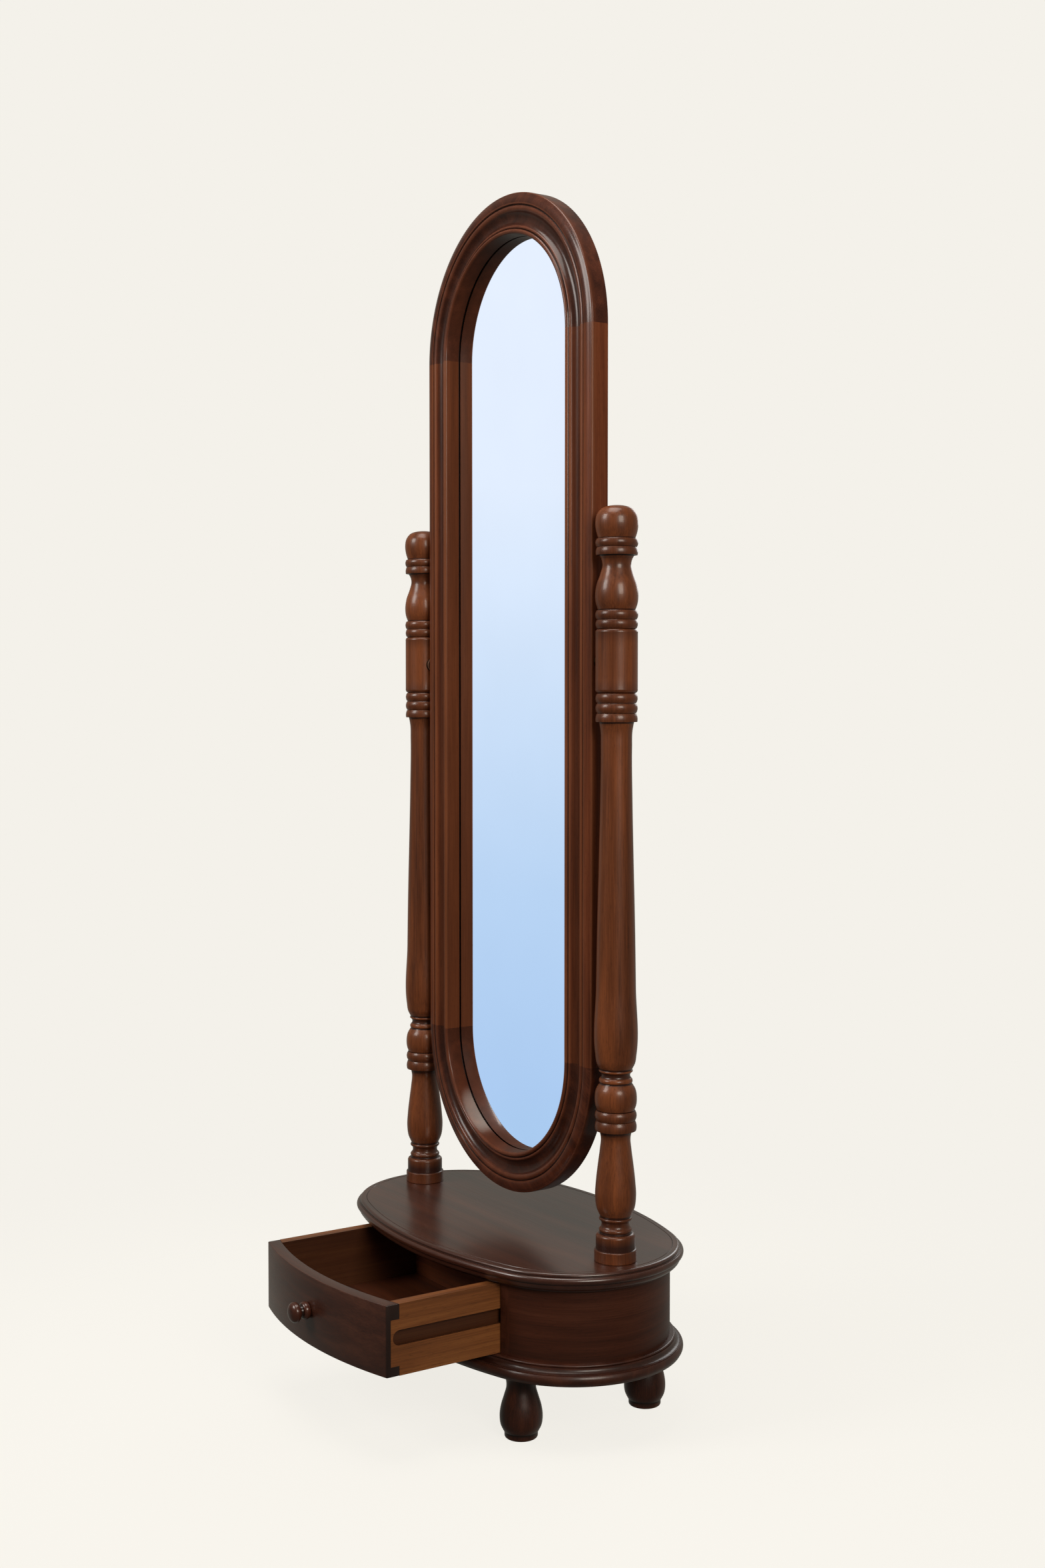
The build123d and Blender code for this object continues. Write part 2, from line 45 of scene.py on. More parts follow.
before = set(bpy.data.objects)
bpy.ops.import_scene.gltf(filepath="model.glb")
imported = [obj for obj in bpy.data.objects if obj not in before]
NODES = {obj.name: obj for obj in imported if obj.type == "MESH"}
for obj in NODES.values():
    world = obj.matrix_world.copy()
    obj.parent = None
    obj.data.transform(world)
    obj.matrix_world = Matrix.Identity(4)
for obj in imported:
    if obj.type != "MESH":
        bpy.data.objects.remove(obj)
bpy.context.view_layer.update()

# Lengths in millimetres from here on, except where metres are named
MM = 0.001
POST_LOW, POST_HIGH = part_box("post_left")
POST_X = -(POST_LOW.x + POST_HIGH.x) / 2 / MM
AXIS_Y = (POST_LOW.y + POST_HIGH.y) / 2 / MM
DECK = POST_LOW.z / MM
CASE_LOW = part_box("case_back")[0].z / MM
CASE_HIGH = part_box("case_back")[1].z / MM
SPRING_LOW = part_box("stile_left")[0].z / MM
SPRING_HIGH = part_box("stile_left")[1].z / MM
FRAME_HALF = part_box("stile_right")[1].x / MM
DRAWER_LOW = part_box("drawer_front")[0].z / MM
DRAWER_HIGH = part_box("drawer_front")[1].z / MM
DRAWER_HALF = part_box("drawer_front")[1].x / MM
DRAWER_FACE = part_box("drawer_front")[0].y / MM - AXIS_Y
KNOB_Z = (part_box("drawer_knob")[0].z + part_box("drawer_knob")[1].z) / 2 / MM

# Most that an arc of an outline runs between two of its points
ARC_STEP = 0.8

# Points of a piece nearer than this, in metres, are one
MERGE = 0.00002

# Proudness of a plain face: no stain and painted shade of the hollows, no wear and painted
# highlight of the crests
FLAT = 0.6


# ---- Properties

class MirrorSizes(bpy.types.PropertyGroup):
    """Sizes of the finished surfaces, in metres."""

    board_length: bpy.props.FloatProperty(
        name="Board length", description="Overall length of the oval boards",
        default=0.600, unit="LENGTH")
    board_width: bpy.props.FloatProperty(
        name="Board width", description="Overall width of the oval boards",
        default=0.356, unit="LENGTH")
    board_end: bpy.props.FloatProperty(
        name="Board end radius", description="Radius of the round ends of the boards",
        default=0.155, unit="LENGTH")
    case_inset: bpy.props.FloatProperty(
        name="Case inset", description="Distance from the boards' edge in to the case wall",
        default=0.0185, unit="LENGTH")
    wall: bpy.props.FloatProperty(
        name="Wall", description="Thickness of the case walls and the drawer front",
        default=0.018, unit="LENGTH")
    lathe_steps: bpy.props.IntProperty(
        name="Lathe steps", description="Facets round each turned piece",
        default=96, min=24, max=256)


class MirrorColours(bpy.types.PropertyGroup):
    """Stain and metal colours, as sRGB hex values."""

    frame_dark: bpy.props.StringProperty(
        name="Frame dark", description="Darkest grain of the mirror frame",
        default="38190F")
    frame_mid: bpy.props.StringProperty(
        name="Frame mid", description="Main stain of the mirror frame", default="67341D")
    frame_light: bpy.props.StringProperty(
        name="Frame light", description="Lightest grain of the mirror frame",
        default="83482B")
    post_dark: bpy.props.StringProperty(
        name="Post dark", description="Darkest grain of the posts", default="351608")
    post_mid: bpy.props.StringProperty(
        name="Post mid", description="Main stain of the posts", default="6A381C")
    post_light: bpy.props.StringProperty(
        name="Post light", description="Lightest grain of the posts", default="8C4C26")
    case_dark: bpy.props.StringProperty(
        name="Case dark", description="Darkest grain of the case and boards",
        default="20100A")
    case_mid: bpy.props.StringProperty(
        name="Case mid", description="Main stain of the case and boards", default="3E1E13")
    case_light: bpy.props.StringProperty(
        name="Case light", description="Lightest grain of the case", default="573020")
    drawer_dark: bpy.props.StringProperty(
        name="Drawer side dark", description="Darkest grain of the drawer sides",
        default="4A2A16")
    drawer_mid: bpy.props.StringProperty(
        name="Drawer side mid", description="Main tone of the drawer sides",
        default="7C4A26")
    drawer_light: bpy.props.StringProperty(
        name="Drawer side light", description="Lightest grain of the drawer sides",
        default="9C6536")


# ---- Profile tracing

def arc_points(a, b, c, step):
    """Points after a, through b to c, on the circle through all three."""
    a, b, c = Vector(a), Vector(b), Vector(c)
    ab, ac = b - a, c - a
    cross = ab.x * ac.y - ab.y * ac.x
    if abs(cross) < 1e-9:
        return [b, c]
    ux = (ac.y * ab.length_squared - ab.y * ac.length_squared) / (2 * cross)
    uy = (ab.x * ac.length_squared - ac.x * ab.length_squared) / (2 * cross)
    centre = a + Vector((ux, uy))
    radius = (a - centre).length
    start = math.atan2(a.y - centre.y, a.x - centre.x)
    end = math.atan2(c.y - centre.y, c.x - centre.x)
    turn = (end - start) % math.tau
    if cross < 0:
        turn -= math.tau
    count = max(5, math.ceil(abs(turn) * radius / step))
    return [centre + radius * Vector((math.cos(start + turn * i / count),
                                      math.sin(start + turn * i / count)))
            for i in range(1, count + 1)]


def curve_points(points, step):
    """Points after the first on a smooth line through all of them."""
    pts = [Vector(p) for p in points]
    chord = [(q - p).length for p, q in zip(pts, pts[1:])]
    slopes = []
    for i in range(len(pts)):
        if i == 0:
            slopes.append((pts[1] - pts[0]) / chord[0])
        elif i == len(pts) - 1:
            slopes.append((pts[-1] - pts[-2]) / chord[-1])
        else:
            before = (pts[i] - pts[i - 1]) / chord[i - 1]
            after = (pts[i + 1] - pts[i]) / chord[i]
            share = chord[i - 1] / (chord[i - 1] + chord[i])
            slopes.append(before.lerp(after, share))
    out = []
    for i, length in enumerate(chord):
        count = max(3, math.ceil(length / step))
        for k in range(1, count + 1):
            t = k / count
            h00 = 2 * t ** 3 - 3 * t ** 2 + 1
            h10 = t ** 3 - 2 * t ** 2 + t
            h01 = -2 * t ** 3 + 3 * t ** 2
            h11 = t ** 3 - t ** 2
            out.append(h00 * pts[i] + h10 * length * slopes[i]
                       + h01 * pts[i + 1] + h11 * length * slopes[i + 1])
    return out


def trace(start, runs, curve_step=3.0):
    """Points of an outline made of straight, arc and smooth runs."""
    points = [Vector(start)]
    for kind, *more in runs:
        if kind == "line":
            points.extend(Vector(p) for p in more)
        elif kind == "arc":
            points.extend(arc_points(points[-1], more[0], more[1], ARC_STEP))
        else:
            points.extend(curve_points([points[-1], *more], curve_step))
    return points


def proudness(points, reach, relief):
    """0 in hollows and 1 on crests, from how far each point stands off its neighbours."""
    run = [0.0]
    for a, b in zip(points, points[1:]):
        run.append(run[-1] + (b - a).length)
    values = []
    for i, point in enumerate(points):
        around = Vector((0, 0))
        for sign in (-1, 1):
            target = min(max(run[i] + sign * reach, 0.0), run[-1])
            j = i
            while 0 < j < len(run) - 1 and (run[j] - target) * sign < 0:
                j += sign
            around += points[j] / 2
        before, after = points[max(i - 1, 0)], points[min(i + 1, len(points) - 1)]
        along = (after - before).normalized()
        side = Vector((along.y, -along.x))
        values.append(min(max(0.5 + side.dot(point - around) / relief, 0.0), 1.0))
    return values


# ---- Mesh making

def chain(bm, points, place, closed=False, flip=False, reach=1.8, relief=1.6):
    """A line of vertices from an outline, carrying its hollows and crests."""
    layer = bm.verts.layers.float.get("proud") or bm.verts.layers.float.new("proud")
    values = proudness(points, reach, relief)
    verts = []
    for point, value in zip(points, values):
        vert = bm.verts.new(place(point.x, point.y))
        vert[layer] = 1.0 - value if flip else value
        verts.append(vert)
    edges = [bm.edges.new(pair) for pair in zip(verts, verts[1:])]
    if closed:
        edges.append(bm.edges.new((verts[-1], verts[0])))
    return verts + edges


def spot(x, y, z):
    """Position in the frame from millimetres about the posts' axes."""
    return Vector((x, y + AXIS_Y, z)) * MM


def lay_grain(bm):
    """Store where each point lies along, up and through a bent wall, in metres."""
    data = oval_arcs()
    layer = bm.verts.layers.float_vector.new("grain")
    half = math.atan2(data["uy"], data["ux"])
    for vert in bm.verts:
        x = vert.co.x / MM
        y = vert.co.y / MM - AXIS_Y
        turn = math.atan2(y, abs(x) - data["end_x"])
        if abs(turn) <= half and abs(x) > data["end_x"]:
            run = data["end_x"] + data["ux"] * data["end_r"]
            run += (half - abs(turn)) * data["end_r"]
            depth = math.hypot(abs(x) - data["end_x"], y)
        else:
            run = abs(x)
            depth = abs(y) * 0.5
        vert[layer] = (depth * MM, vert.co.z, math.copysign(run, x) * MM)


def make_piece(bm, name, body, nodes, material, sharp=32.0):
    """Turn a finished bmesh into a piece that stands for its CAD nodes. Edges turned by
    more than sharp degrees stay crisp."""
    bmesh.ops.remove_doubles(bm, verts=bm.verts, dist=MERGE)
    bmesh.ops.dissolve_degenerate(bm, dist=0.00001, edges=bm.edges)
    bmesh.ops.recalc_face_normals(bm, faces=bm.faces)
    name = "finished_" + name
    mesh = bpy.data.meshes.new(name)
    bm.to_mesh(mesh)
    bm.free()
    mesh.shade_smooth()
    mesh.set_sharp_from_angle(angle=math.radians(sharp))
    mesh.materials.append(material)
    piece = bpy.data.objects.new(name, mesh)
    bpy.context.scene.collection.objects.link(piece)
    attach(piece, body)
    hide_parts(*nodes)


def lathe(start, runs, place, axis_at, axis, steps):
    """Closed solid of revolution whose outline starts and ends near its axis."""
    points = trace(start, runs)
    if points[0].x > 0:
        points.insert(0, Vector((0.0, points[0].y)))
    if points[-1].x > 0:
        points.append(Vector((0.0, points[-1].y)))
    bm = bmesh.new()
    geom = chain(bm, points, place, reach=2.2)
    bmesh.ops.spin(bm, geom=geom, cent=axis_at, axis=axis, angle=math.tau, steps=steps,
                   use_merge=True)
    bmesh.ops.remove_doubles(bm, verts=bm.verts, dist=MERGE)
    return bm


def slice_off(bm, point, away):
    """Cut off what lies past a plane and close the cut."""
    cut = bmesh.ops.bisect_plane(bm, geom=bm.verts[:] + bm.edges[:] + bm.faces[:],
                                 plane_co=point, plane_no=away, clear_outer=True)
    rim = [e for e in cut["geom_cut"] if isinstance(e, bmesh.types.BMEdge)]
    bmesh.ops.holes_fill(bm, edges=rim, sides=0)


def carve(bm, low, high):
    """Cut a box, given by two corners in metres, out of a closed bmesh."""
    box = bmesh.new()
    size = Vector(high) - Vector(low)
    bmesh.ops.create_cube(box, size=1.0, matrix=Matrix.LocRotScale(
        (Vector(high) + Vector(low)) / 2, None, size))
    objects = []
    for source in (bm, box):
        mesh = bpy.data.meshes.new("work")
        source.to_mesh(mesh)
        objects.append(bpy.data.objects.new("work", mesh))
        bpy.context.scene.collection.objects.link(objects[-1])
    box.free()
    work, cutter = objects
    cut = work.modifiers.new("cut", "BOOLEAN")
    cut.operation = "DIFFERENCE"
    cut.object = cutter
    solid = work.evaluated_get(bpy.context.evaluated_depsgraph_get())
    result = bpy.data.meshes.new_from_object(solid)
    bm.clear()
    bm.from_mesh(result)
    bpy.data.meshes.remove(result)
    for work in objects:
        mesh = work.data
        bpy.data.objects.remove(work)
        bpy.data.meshes.remove(mesh)


def dress(node, material):
    """Give a CAD node its finish."""
    slots = NODES[node].data.materials
    slots.clear()
    slots.append(material)


# ---- Materials

def linear(code):
    """Linear colour from an sRGB hex value."""
    channels = [int(code[i:i + 2], 16) / 255 for i in (0, 2, 4)]
    return tuple(c / 12.92 if c <= 0.04045 else ((c + 0.055) / 1.055) ** 2.4
                 for c in channels) + (1.0,)


def add(tree, kind, sockets=None, **settings):
    """Add a node. sockets maps an input to a value, or to the output that feeds it."""
    node = tree.nodes.new(kind)
    for key, value in settings.items():
        setattr(node, key, value)
    for key, value in (sockets or {}).items():
        if isinstance(value, bpy.types.NodeSocket):
            tree.links.new(value, node.inputs[key])
        else:
            node.inputs[key].default_value = value
    return node


def ramp(tree, factor, stops):
    """Colour ramp over hex or grey stops."""
    node = add(tree, "ShaderNodeValToRGB", {"Fac": factor})
    elements = node.color_ramp.elements
    elements[0].position = stops[0][0]
    elements[1].position = stops[-1][0]
    for position, colour in stops[1:-1]:
        elements.new(position)
    for element, (position, colour) in zip(elements, stops):
        if isinstance(colour, str):
            element.color = linear(colour)
        else:
            element.color = (colour, colour, colour, 1.0)
    return node.outputs["Color"]


def new_material(name, constants):
    """Node material with its shader, whose constant sockets are set."""
    material = bpy.data.materials.new(name)
    material.use_nodes = True
    tree = material.node_tree
    tree.nodes.clear()
    shader = add(tree, "ShaderNodeBsdfPrincipled", constants)
    add(tree, "ShaderNodeOutputMaterial", {"Surface": shader.outputs["BSDF"]})
    return material, tree, shader


def streaks(tree, laid, scale, **noise):
    """Noise drawn out along the grain. scale is its cells in a metre, on each axis."""
    stretched = add(tree, "ShaderNodeMapping", {"Vector": laid, "Scale": scale})
    return add(tree, "ShaderNodeTexNoise", {"Vector": stretched.outputs["Vector"],
                                            "Scale": 1.0, **noise}).outputs["Fac"]


def mahogany(name, tones, turn=(0, 0, 0), shift=(0, 0, 0), hollows=True, coat=0.15,
             roughness=0.42, hollow_stain_and_shade_tone="1E0D07", crest_wear_and_highlight_tone=None, follow=False,
             contrast=1.0, gloss=0.4, film=0.2):
    """Mahogany, stained and sprayed with lacquer: straight ribboned grain and short open
    pores under a smooth film that gives small soft highlights. turn lays the grain,
    which runs along Z before it, or follow lets it run round a bent piece. coat is the
    weight of the film and film its roughness."""
    dark, mid, light = tones
    material, tree, shader = new_material(name, {
        "IOR": 1.45, "Specular IOR Level": gloss, "Coat Weight": coat,
        "Coat Roughness": film, "Coat IOR": 1.45})
    if follow:
        place = add(tree, "ShaderNodeAttribute", attribute_name="grain").outputs["Vector"]
    else:
        place = add(tree, "ShaderNodeTexCoord").outputs["Object"]
    laid = add(tree, "ShaderNodeMapping", {"Vector": place, "Rotation": turn,
                                           "Location": shift}).outputs["Vector"]
    # Ribbon figure, bands some 20 mm wide and 300 mm long
    figure = streaks(tree, laid, (50, 50, 3.3), Detail=2.0, Roughness=0.5, Distortion=0.4)
    # Grain lines about 1.6 mm apart
    lines = streaks(tree, laid, (620, 620, 9), Detail=4.0, Roughness=0.6)
    # Pores, 0.2 mm wide in life, drawn 0.7 mm wide and 11 mm long so they show
    pores = streaks(tree, laid, (1500, 1500, 90), Detail=1.0)
    pore_mask = ramp(tree, pores, [(0.28, 0.0), (0.38, 1.0)])
    mix = add(tree, "ShaderNodeMath", {0: figure, 1: 0.6}, operation="MULTIPLY")
    both = add(tree, "ShaderNodeMath", {0: lines, 1: 0.4, 2: mix.outputs[0]},
               operation="MULTIPLY_ADD")
    spread = 0.20 / contrast
    stained = ramp(tree, both.outputs[0], [(0.5 - spread, dark), (0.50, mid),
                                           (0.5 + spread, light)])
    toned = add(tree, "ShaderNodeMix", {"Factor": 0.35, "A": stained, "B": pore_mask},
                data_type="RGBA", blend_type="MULTIPLY")
    colour = toned.outputs["Result"]
    if hollows:
        # Stain and painted shade darken the quirks; the crests are lightened as wear and as a
        # painted highlight
        proud = add(tree, "ShaderNodeAttribute", attribute_name="proud").outputs["Fac"]
        low = ramp(tree, proud, [(0.13, 0.9), (0.44, 0.0)])
        sunk = add(tree, "ShaderNodeMix", {"Factor": low, "A": colour,
                                           "B": linear(hollow_stain_and_shade_tone)}, data_type="RGBA")
        high = ramp(tree, proud, [(0.60, 0.0), (0.95, 0.42)])
        rubbed_and_highlit = add(tree, "ShaderNodeMix", {"Factor": high, "A": sunk.outputs["Result"],
                                             "B": linear(crest_wear_and_highlight_tone or light)},
                     data_type="RGBA")
        colour = rubbed_and_highlit.outputs["Result"]
    tree.links.new(colour, shader.inputs["Base Color"])
    rough = add(tree, "ShaderNodeMapRange", {
        "Value": lines, "From Min": 0.3, "From Max": 0.7,
        "To Min": roughness - 0.04, "To Max": roughness + 0.05})
    tree.links.new(rough.outputs["Result"], shader.inputs["Roughness"])
    bump = add(tree, "ShaderNodeBump", {"Height": pores, "Strength": 0.012,
                                        "Distance": 0.0003})
    tree.links.new(bump.outputs["Normal"], shader.inputs["Normal"])
    return material


def plain_wood(name, tones, turn=(0, 0, 0), roughness=0.6):
    """Planed hardwood, unfinished or thinly sealed: the same grain with a dull surface."""
    return mahogany(name, tones, turn=turn, hollows=False, coat=0.0, roughness=roughness)


def dull(name, kind, cells, output, stops, bump, roughness):
    """Dull material coloured and roughened by one pattern. bump is its strength and its
    depth in metres."""
    material, tree, shader = new_material(name, {"Roughness": roughness})
    place = add(tree, "ShaderNodeTexCoord").outputs["Object"]
    pattern = add(tree, kind, {"Vector": place, **cells}).outputs[output]
    tree.links.new(ramp(tree, pattern, stops), shader.inputs["Base Color"])
    relief = add(tree, "ShaderNodeBump", {"Height": pattern, "Strength": bump[0],
                                          "Distance": bump[1]})
    tree.links.new(relief.outputs["Normal"], shader.inputs["Normal"])
    return material


def metal(name, tone, roughness, stretch=(1, 1, 1)):
    """Drawn or turned metal: tool lines about 1 mm apart that break up the shine."""
    material, tree, shader = new_material(name, {"Base Color": linear(tone),
                                                 "Metallic": 1.0})
    place = add(tree, "ShaderNodeTexCoord").outputs["Object"]
    drawn = add(tree, "ShaderNodeMapping", {"Vector": place, "Scale": stretch})
    lines = add(tree, "ShaderNodeTexNoise", {"Vector": drawn.outputs["Vector"],
                                             "Scale": 900.0, "Detail": 3.0})
    rough = add(tree, "ShaderNodeMapRange", {
        "Value": lines.outputs["Fac"], "To Min": roughness - 0.08,
        "To Max": roughness + 0.12})
    tree.links.new(rough.outputs["Result"], shader.inputs["Roughness"])
    return material


def silvered(name):
    """Float glass silvered on its back: a polished reflection, a touch uneven in tone."""
    material, tree, shader = new_material(name, {"Roughness": 0.0, "Metallic": 1.0})
    place = add(tree, "ShaderNodeTexCoord").outputs["Object"]
    haze = add(tree, "ShaderNodeTexNoise", {"Vector": place, "Scale": 5.0, "Detail": 2.0})
    tree.links.new(ramp(tree, haze.outputs["Fac"], [(0.3, "F6F8FA"), (0.7, "F9FBFD")]),
                   shader.inputs["Base Color"])
    return material


def darken_sides(material, inner_face, groove):
    """Drawer sides: the inner face and the guide groove made darker.
    inner_face is its distance from the middle, groove the groove's height and half width."""
    tree = material.node_tree
    shader = next(n for n in tree.nodes if n.type == "BSDF_PRINCIPLED")
    colour = shader.inputs["Base Color"].links[0].from_socket
    place = add(tree, "ShaderNodeTexCoord").outputs["Object"]
    parts = add(tree, "ShaderNodeSeparateXYZ", {0: place}).outputs
    across = add(tree, "ShaderNodeMath", {0: parts["X"]}, operation="ABSOLUTE").outputs[0]
    level = add(tree, "ShaderNodeMath", {0: parts["Z"], 1: groove[0], 2: groove[1]},
                operation="COMPARE").outputs[0]
    sunk = add(tree, "ShaderNodeMath", {0: across, 1: (DRAWER_HALF - 0.6) * MM},
               operation="LESS_THAN").outputs[0]
    in_groove = add(tree, "ShaderNodeMath", {0: level, 1: sunk}, operation="MULTIPLY").outputs[0]
    within = add(tree, "ShaderNodeMath", {0: across, 1: inner_face + 0.0008},
                 operation="LESS_THAN").outputs[0]
    either = add(tree, "ShaderNodeMath", {0: in_groove, 1: within}, operation="MAXIMUM").outputs[0]
    # The inner face and the groove bed are mixed towards a dark brown
    part = add(tree, "ShaderNodeMath", {0: either, 1: 0.75}, operation="MULTIPLY").outputs[0]
    dark = add(tree, "ShaderNodeMix", {"Factor": part, "A": colour, "B": linear("2A1009")},
               data_type="RGBA")
    tree.links.new(dark.outputs["Result"], shader.inputs["Base Color"])


def stain(group):
    """The three tones of one stain from the panel."""
    colours = bpy.context.scene.mirror_colours
    return tuple(getattr(colours, f"{group}_{tone}") for tone in ("dark", "mid", "light"))


ALONG_X = (0, math.radians(90), 0)
ALONG_Y = (math.radians(90), 0, 0)


# ---- Ovals

def oval_arcs():
    """Centre, start radius, start direction and angle of the oval's four arcs, in mm."""
    sizes = bpy.context.scene.mirror_sizes
    a = sizes.board_length / 2 / MM
    b = sizes.board_width / 2 / MM
    r = sizes.board_end / MM
    side = ((a - r) ** 2 + b * b - r * r) / (2 * (b - r))
    ux = (a - r) / (side - r)
    uy = (side - b) / (side - r)
    half = math.atan2(uy, ux)
    return {
        "end_x": a - r, "end_r": r, "side_r": side, "ux": ux, "uy": uy,
        "arcs": [((a - r, 0), 2 * half, 72), ((0, -(side - b)), math.pi - 2 * half, 56),
                 ((-(a - r), 0), 2 * half, 72), ((0, side - b), math.pi - 2 * half, 56)],
    }


def oval_ring(points):
    """An edge section of (inset, height) points run round the whole oval."""
    data = oval_arcs()
    bm = bmesh.new()

    def place(inset, height):
        reach = data["end_r"] - inset
        return spot(data["end_x"] + data["ux"] * reach, -data["uy"] * reach, height)

    geom = chain(bm, points, place)
    for (cx, cy), angle, steps in data["arcs"]:
        done = bmesh.ops.spin(bm, geom=geom, cent=spot(cx, cy, 0), axis=(0, 0, 1),
                              angle=angle, steps=steps)
        geom = done["geom_last"]
    bmesh.ops.remove_doubles(bm, verts=bm.verts, dist=MERGE)
    return bm


def make_board(name, outline, material):
    """Moulded oval board with its flat faces filled in."""
    bm = oval_ring(outline)
    rims = [e for e in bm.edges if e.is_boundary]
    bmesh.ops.holes_fill(bm, edges=rims, sides=0)
    make_piece(bm, name, "stand", [name], material, sharp=28)


# ---- Operators

class MIRROR_OT_case(bpy.types.Operator):
    """Oval boards, curved case ends and bowed back"""

    bl_idname = "mirror.case"
    bl_label = "Case and boards"

    def execute(self, context):
        sizes = context.scene.mirror_sizes
        z = DECK
        top = trace((30, z), [
            ("line", (24, z), (18, z), (15.7, z), (15, z - 0.9), (14.3, z), (11.8, z),
             (9.4, z)),
            ("arc", (6.2, z - 0.9), (5.0, z - 3.6)),
            ("line", (5.0, z - 4.3), (3.6, z - 4.3), (3.6, z - 5.2), (2.6, z - 5.2)),
            ("arc", (0.0, z - 9.6), (2.6, z - 14.2)),
            ("line", (3.8, z - 14.2), (3.8, z - 15.4)),
            ("arc", (6.0, z - 21.0), (13.0, z - 24.0)),
            ("line", (13.0, z - 26.0), (30, z - 26.0)),
        ])
        z = CASE_LOW
        base = trace((30, z), [
            ("line", (20, z), (13.4, z)),
            ("arc", (11.4, z - 1.7), (13.0, z - 3.4)),
            ("line", (11.2, z - 3.4), (11.2, z - 4.4)),
            ("arc", (9.6, z - 8.2), (4.6, z - 10.4)),
            ("line", (3.2, z - 10.4), (3.2, z - 11.5), (2.2, z - 11.5)),
            ("arc", (0.0, z - 17.6), (2.4, z - 23.6)),
            ("arc", (3.4, z - 25.3), (5.4, z - 26.0)),
            ("line", (12, z - 26.0), (30, z - 26.0)),
        ])
        tones = stain("case")
        board = mahogany("Mahogany board, lacquered", tones, turn=ALONG_X, coat=0.7,
                         roughness=0.34, contrast=0.6, gloss=0.5, crest_wear_and_highlight_tone=tones[1])
        make_board("top_board", top, board)
        make_board("bottom_board", base, mahogany(
            "Mahogany base board, lacquered", tones, turn=ALONG_X, shift=(0.3, 0.1, 0.2),
            coat=0.4, contrast=0.8, crest_wear_and_highlight_tone=tones[1]))

        inset = sizes.case_inset / MM
        inner = inset + sizes.wall / MM
        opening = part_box("case_end_right")[0].x / MM
        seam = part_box("case_back")[1].x / MM
        behind = 40  # the back wall lies wholly behind this
        wall = [Vector(p) for p in ((inset, CASE_LOW), (inset, CASE_HIGH),
                                    (inner, CASE_HIGH), (inner, CASE_LOW))]
        for name, side in (("case_end_left", -1), ("case_end_right", 1), ("case_back", 0)):
            bm = oval_ring(wall + [wall[0]])
            if side:
                slice_off(bm, spot(side * opening, 0, 0), (-side, 0, 0))
            else:
                slice_off(bm, spot(seam, 0, 0), (1, 0, 0))
                slice_off(bm, spot(-seam, 0, 0), (-1, 0, 0))
                slice_off(bm, spot(0, behind, 0), (0, -1, 0))
            layer = bm.verts.layers.float.get("proud")
            for vert in bm.verts:
                vert[layer] = FLAT
            lay_grain(bm)
            material = mahogany(f"Mahogany case {side + 2}, lacquered",
                                ("24120B", "432114", "5C3322"),
                                follow=True, shift=(0.11 * side, 0.2, 0.4),
                                contrast=0.7, coat=0.08, gloss=0.28)
            make_piece(bm, name, "stand", [name], material, sharp=30)
        return {"FINISHED"}


FOOT = ((19.5, 0), [
    ("arc", (21.7, 1.2), (22.5, 3.6)),
    ("line", (22.5, 8.6), (23.6, 9.4)),
    ("curve", (27.4, 17), (29.0, 29), (27.2, 43), (23.0, 57), (19.9, 69), (20.9, 79),
     (24.6, 86.5)),
    ("line", (26.0, 87.5), (26.0, 91.0)),
])


class MIRROR_OT_feet(bpy.types.Operator):
    """Four turned feet"""

    bl_idname = "mirror.feet"
    bl_label = "Feet"

    def execute(self, context):
        steps = context.scene.mirror_sizes.lathe_steps * 3 // 4
        material = mahogany("Mahogany feet, dark stain", ("1E0D07", "3A1B10", "542A18"),
                            coat=0.3)
        for name in ("foot_front_left", "foot_front_right", "foot_back_left",
                     "foot_back_right"):
            low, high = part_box(name)
            centre = (low + high) / 2
            bm = lathe(*FOOT, lambda r, z: Vector((centre.x + r * MM, centre.y, z * MM)),
                       (centre.x, centre.y, 0), (0, 0, 1), steps)
            make_piece(bm, name, "stand", [name], material)
        return {"FINISHED"}


def bead(low, high, radius, core, flare=0.0):
    """Outline of a turned ring. A flare sharpens its lower edge."""
    edge = radius - (high - low) * 0.16
    return [
        ("line", (core, low), (edge + flare, low)),
        ("arc", (radius, (low + high) / 2 - flare), (edge, high)),
        ("line", (core, high)),
    ]


